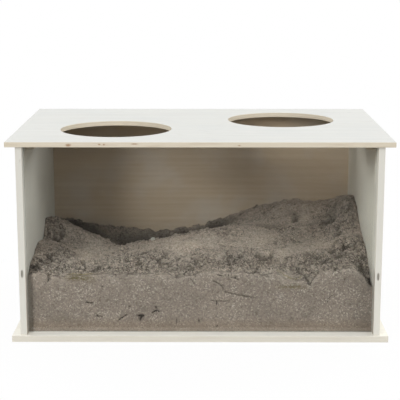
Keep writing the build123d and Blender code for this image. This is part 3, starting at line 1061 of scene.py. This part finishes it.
def pellet_mesh(tree):
    """A small uneven pellet that lies on the sand."""
    made = bmesh.new()
    bmesh.ops.create_icosphere(made, subdivisions=3, radius=1.0)
    x, y = [v * MM for v in PELLET_PLACE]
    middle = Vector((x, y, drop_to(tree, x, y) + 1.8 * MM))
    for vert in made.verts:
        vert.co *= 1.0 + 0.12 * noise.noise(vert.co * 1.4)
        vert.co = middle + vert.co * Vector(PELLET_SIZE) * MM
    for face in made.faces:
        face.smooth = True
    return to_mesh(made, "pale_pellet")


def colour_property(name, description, *default):
    return bpy.props.FloatVectorProperty(
        name=name, description=description, subtype="COLOR", default=default, min=0, max=1
    )


def power_property(name, where, default):
    return bpy.props.FloatProperty(
        name=name,
        description=f"Power of the lamp {where}",
        default=default,
        min=0,
        subtype="POWER",
        unit="POWER",
    )


class BoardLooks(bpy.types.PropertyGroup):
    """Colours of the boards, the pane and the dust on them"""

    wash_light: colour_property("Wash", "Colour of the pale wash", 0.80, 0.80, 0.765)
    wash_shade: colour_property("Wash Streaks", "Wash where it is thin", 0.745, 0.745, 0.71)
    edge_wash: colour_property("Edge Wash", "Wash on the boards' edges", 0.765, 0.755, 0.705)
    bare_light: colour_property("Bare Wood", "Bare wood inside the box", 0.59, 0.48, 0.345)
    bare_shade: colour_property("Bare Streaks", "Darker streaks of the bare wood", 0.535, 0.425, 0.30)
    pane_tint: colour_property("Pane Tint", "Tint of the clear pane", 0.975, 0.985, 0.98)
    # Dust is also the colour of the painted shade on the side panels' strips in front of the pane
    dust: colour_property("Dust", "Sand dust on the walls", 0.36, 0.31, 0.26)


class SandLooks(bpy.types.PropertyGroup):
    """Colours of the sand, and how lumpy, fine and crumby it is"""

    sand_cool: colour_property("Cool Sand", "Cooler patches of the sand", 0.47, 0.411, 0.346)
    sand_warm: colour_property("Warm Sand", "Warmer patches of the sand", 0.52, 0.436, 0.357)
    sand_damp: colour_property("Damp Sand", "Sand pressed against the pane", 0.298, 0.247, 0.204)
    # Colour of the painted shade in the dug hollow and other shaded spots
    sand_shade: colour_property("Dug Sand", "Damp sand that was just dug", 0.062, 0.057, 0.048)
    sand_dry: colour_property("Dry Grains", "Light, dry grains", 0.64, 0.57, 0.48)
    sand_deep: colour_property("Dark Grains", "Dark grains", 0.13, 0.102, 0.08)
    clod_height: bpy.props.FloatProperty(
        name="Clod Height",
        description="Height of the larger clods",
        default=0.006,
        min=0,
        max=0.02,
        subtype="DISTANCE",
        unit="LENGTH",
    )
    columns: bpy.props.IntProperty(
        name="Columns", description="Mesh columns along the box", default=304, min=40, max=330
    )
    crumbs: bpy.props.FloatProperty(
        name="Crumbs",
        description="Small crumbs per square metre of broken sand",
        default=66000.0,
        min=0,
        max=67000,
    )
    seed: bpy.props.IntProperty(name="Seed", description="Changes where crumbs lie", default=5)


class StageLooks(bpy.types.PropertyGroup):
    """Power of the lamps and of the light from all around"""

    key_power: power_property("Key Lamp", "at the front left", 28.5)
    top_power: power_property("Top Lamp", "above", 6.0)
    back_power: power_property("Back Lamp", "behind, at the left", 17.0)
    rear_power: power_property("Rear Lamp", "behind, at the right", 15.0)
    fill_power: power_property("Fill Lamp", "at the front right", 14.0)
    ambient: bpy.props.FloatProperty(
        name="Ambient", description="Light from all around", default=0.6, min=0, max=1
    )


class DIGBOX_OT_boards(bpy.types.Operator):
    """Finish the base, sides, back and lid as whitewashed plywood"""

    bl_idname = "digbox.boards"
    bl_label = "Boards"

    def execute(self, context):
        for number, (node, board) in enumerate(BOARDS.items()):
            dress(node, board_material(node, board, 3.7 * number + 1.0, context.scene.digbox_boards))
        return {"FINISHED"}


class DIGBOX_OT_battens(bpy.types.Operator):
    """Finish the two battens under the lid as planed softwood"""

    bl_idname = "digbox.battens"
    bl_label = "Battens"

    def execute(self, context):
        for number, node in enumerate(BATTENS):
            dress(node, batten_material(node, 21.0 + 2.3 * number))
        return {"FINISHED"}


class DIGBOX_OT_pane(bpy.types.Operator):
    """Finish the front pane as clear acrylic"""

    bl_idname = "digbox.pane"
    bl_label = "Front Pane"

    def execute(self, context):
        dress("front_pane", pane_material(context.scene.digbox_boards))
        return {"FINISHED"}


class DIGBOX_OT_screws(bpy.types.Operator):
    """Finish all wood screws as zinc-plated steel"""

    bl_idname = "digbox.screws"
    bl_label = "Screws"

    def execute(self, context):
        material = screw_material()
        for node in SCREWS:
            dress(node, material)
        return {"FINISHED"}


class DIGBOX_OT_sand(bpy.types.Operator):
    """Lay the damp, clumped sand with its crumbs and clods"""

    bl_idname = "digbox.sand"
    bl_label = "Sand"

    def execute(self, context):
        looks = context.scene.digbox_sand
        mesh = build_sand(looks)
        sand = lay_piece("sand_heap", mesh, sand_material("damp_sand", looks))
        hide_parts("digging_sand")
        loose = sand_material("loose_crumbs", looks, dry=0.15, grain=1.4)
        tree = crumb_tree()
        kinds = (
            ("sand_crumbs", looks.crumbs, 0.9 * MM, 2.6 * MM, 1, 3.6 * MM),
            ("sand_clods", looks.crumbs / 11.0, 2.0 * MM, 5.0 * MM, 2, 6.6 * MM),
        )
        for number, (name, count, smallest, largest, roundness, margin) in enumerate(kinds):
            values = {
                "Crumbs per Square Metre": count,
                "Smallest": smallest,
                "Largest": largest,
                "Roundness": roundness,
                "Seed": looks.seed + number,
                "Finish": loose,
            }
            crumbs = scatter(name, open_top(mesh, margin), tree, values)
            lay_piece(name, crumbs, loose)
        return {"FINISHED"}


class DIGBOX_OT_straw(bpy.types.Operator):
    """Lay a few bits of straw on the sand near the pane and a pale pellet on the hollow's rim"""

    bl_idname = "digbox.straw"
    bl_label = "Straw"

    def execute(self, context):
        sand = bpy.data.objects["sand_heap"].data
        tree = BVHTree.FromPolygons([v.co for v in sand.vertices], [p.vertices for p in sand.polygons])
        lay_piece("straw_bits", straw_mesh(tree), straw_material())
        lay_piece("pale_pellet", pellet_mesh(tree), pellet_material())
        return {"FINISHED"}


class DIGBOX_OT_stage(bpy.types.Operator):
    """Set up the pale floor, the soft lamps, the surroundings and the camera"""

    bl_idname = "digbox.stage"
    bl_label = "Stage"

    def execute(self, context):
        looks = context.scene.digbox_stage
        lay_floor(looks.ambient)
        hang_lamps(looks)
        set_surroundings(looks.ambient)
        set_camera()
        context.scene.view_settings.view_transform = "Standard"
        return {"FINISHED"}


def before_bounce(w, path):
    """1 before light has met a matte surface."""
    return w.math("LESS_THAN", path["Diffuse Depth"], 0.5)


def through_pane(w, path):
    """1 for what is seen straight through the pane, 0 for what its two faces mirror on the way."""
    return w.times(path["Is Transmission Ray"], w.math("LESS_THAN", path["Glossy Depth"], 0.5))


def seen_straight(w, path):
    """1 for what the camera sees directly, in a mirror or through the pane; 0 for lighting."""
    seen = w.math("MAXIMUM", path["Is Camera Ray"], path["Is Glossy Ray"])
    return w.times(w.math("MAXIMUM", seen, through_pane(w, path)), before_bounce(w, path))


def mirrored_share(w, path):
    """1 for what the pane's two faces and other glossy things mirror, 0 for all else."""
    echo = w.times(path["Is Transmission Ray"], w.math("GREATER_THAN", path["Glossy Depth"], 0.5))
    return w.times(w.math("MAXIMUM", path["Is Glossy Ray"], echo), before_bounce(w, path))


def lay_floor(ambient):
    """A pale floor that looks white to the camera and keeps a little of the box's shadow. In a
    mirror its part in front of the box is as dim as the studio there."""
    made = bmesh.new()
    bmesh.ops.create_circle(made, cap_ends=True, segments=64, radius=0.5)
    mesh = to_mesh(made, "floor")
    floor = bpy.data.objects.new("floor", mesh)
    bpy.context.scene.collection.objects.link(floor)
    material, w, surface = new_material("pale_floor")
    path = w.node("ShaderNodeLightPath").outputs
    rim = w.fade(w.vector("LENGTH", object_place(w)), 0.36, 0.48)
    share = w.times(seen_straight(w, path), w.linear(rim, 0.04, 0.96))
    in_front = w.times(mirrored_share(w, path), w.fade(w.split(object_place(w))[1], -0.1, -0.18))
    strength = w.linear(in_front, MIRRORED * ambient - 1.0, 1.0)
    matte = w.node("ShaderNodeBsdfDiffuse", {"Color": (0.8, 0.8, 0.79)}).outputs[0]
    white = w.node("ShaderNodeEmission", {"Color": (1.0, 1.0, 1.0), "Strength": strength}).outputs[0]
    w.join(blend(w, w.math("MAXIMUM", share, in_front), matte, white), surface)
    mesh.materials.append(material)


def hang_lamps(looks):
    """Soft lamps: name, place, what it points at, width, height and power."""
    lamps = (
        ("key_lamp", (-1.05, -2.24, 1.5), (0.0, -0.1, 0.15), 0.5, 1.3, looks.key_power),
        ("top_lamp", (0.75, 0.1, 2.1), (0.1, 0.0, 0.3), 1.4, 1.2, looks.top_power),
        ("back_lamp", (-1.6, 1.5, 1.5), (0.1, 0.0, 0.2), 1.6, 1.2, looks.back_power),
        ("rear_lamp", (1.5, 1.2, 1.8), (0.0, 0.0, 0.2), 1.4, 1.2, looks.rear_power),
        ("fill_lamp", (1.9, -1.5, 0.9), (0.0, 0.0, 0.15), 1.2, 1.0, looks.fill_power),
    )
    for name, place, target, width, height, power in lamps:
        light = bpy.data.lights.new(name, "AREA")
        light.shape = "RECTANGLE"
        light.size, light.size_y = width, height
        light.energy = power
        lamp = bpy.data.objects.new(name, light)
        lamp.location = place
        lamp.rotation_euler = (Vector(target) - Vector(place)).to_track_quat("-Z", "Y").to_euler()
        lamp.visible_transmission = False
        lamp.visible_camera = False
        bpy.context.scene.collection.objects.link(lamp)


def set_surroundings(ambient):
    """White where the camera sees it; otherwise a dim studio that is brighter at the back."""
    world = bpy.data.worlds.new("studio")
    world.use_nodes = True
    world.node_tree.nodes.clear()
    w = Wiring(world.node_tree)
    toward = w.split(w.node("ShaderNodeTexCoord").outputs["Generated"])
    behind = w.fade(toward[1], -0.35, 0.45)
    path = w.node("ShaderNodeLightPath").outputs
    level = w.times(ambient, w.linear(mirrored_share(w, path), MIRRORED - 1.0, 1.0))
    shown = w.math("MAXIMUM", through_pane(w, path), w.times(path["Is Glossy Ray"], behind))
    shown = w.math("MAXIMUM", w.times(shown, before_bounce(w, path)), path["Is Camera Ray"])
    # Light through the pane reaches the inside by the lamps' own rays, and isn't counted twice
    bounced = w.math("GREATER_THAN", path["Diffuse Depth"], 0.5)
    lit_inside = w.times(path["Is Transmission Ray"], bounced)
    level = w.times(level, w.math("SUBTRACT", 1.0, lit_inside))
    strength = w.linear(level, w.math("SUBTRACT", 1.0, shown), shown)
    sky = w.node("ShaderNodeBackground", {"Color": (1.0, 1.0, 1.0), "Strength": strength})
    w.join(sky.outputs[0], w.node("ShaderNodeOutputWorld").inputs["Surface"])
    bpy.context.scene.world = world


def set_camera():
    """The photograph's viewpoint."""
    lens = bpy.data.cameras.new("camera")
    lens.lens, lens.sensor_width = CAMERA_LENS, CAMERA_SENSOR
    lens.clip_start, lens.clip_end = 0.05, 20.0
    camera = bpy.data.objects.new("camera", lens)
    camera.location = CAMERA_PLACE
    camera.rotation_euler = (math.radians(90.0 - CAMERA_PITCH), 0.0, math.radians(CAMERA_TURN))
    bpy.context.scene.collection.objects.link(camera)
    bpy.context.scene.camera = camera


class DIGBOX_PT_panel(bpy.types.Panel):
    """A button for each group of pieces, and all settings"""

    bl_idname = "DIGBOX_PT_panel"
    bl_label = "Digging Box"
    bl_space_type = "VIEW_3D"
    bl_region_type = "UI"
    bl_category = "Digging Box"

    def draw(self, context):
        for operator in OPERATORS:
            self.layout.operator(operator.bl_idname)
        for label in LOOKS:
            looks = getattr(context.scene, label)
            box = self.layout.box()
            for name in looks.__annotations__:
                box.prop(looks, name)


OPERATORS = (
    DIGBOX_OT_boards,
    DIGBOX_OT_battens,
    DIGBOX_OT_pane,
    DIGBOX_OT_screws,
    DIGBOX_OT_sand,
    DIGBOX_OT_straw,
    DIGBOX_OT_stage,
)
LOOKS = {"digbox_boards": BoardLooks, "digbox_sand": SandLooks, "digbox_stage": StageLooks}
CLASSES = (*LOOKS.values(), *OPERATORS, DIGBOX_PT_panel)


def register():
    for cls in CLASSES:
        bpy.utils.register_class(cls)
    for label, cls in LOOKS.items():
        setattr(bpy.types.Scene, label, bpy.props.PointerProperty(type=cls))


def unregister():
    for label in LOOKS:
        delattr(bpy.types.Scene, label)
    for cls in reversed(CLASSES):
        bpy.utils.unregister_class(cls)


def main():
    register()
    for operator in OPERATORS:
        family, name = operator.bl_idname.split(".")
        getattr(getattr(bpy.ops, family), name)()


if __name__ == "__main__":
    main()
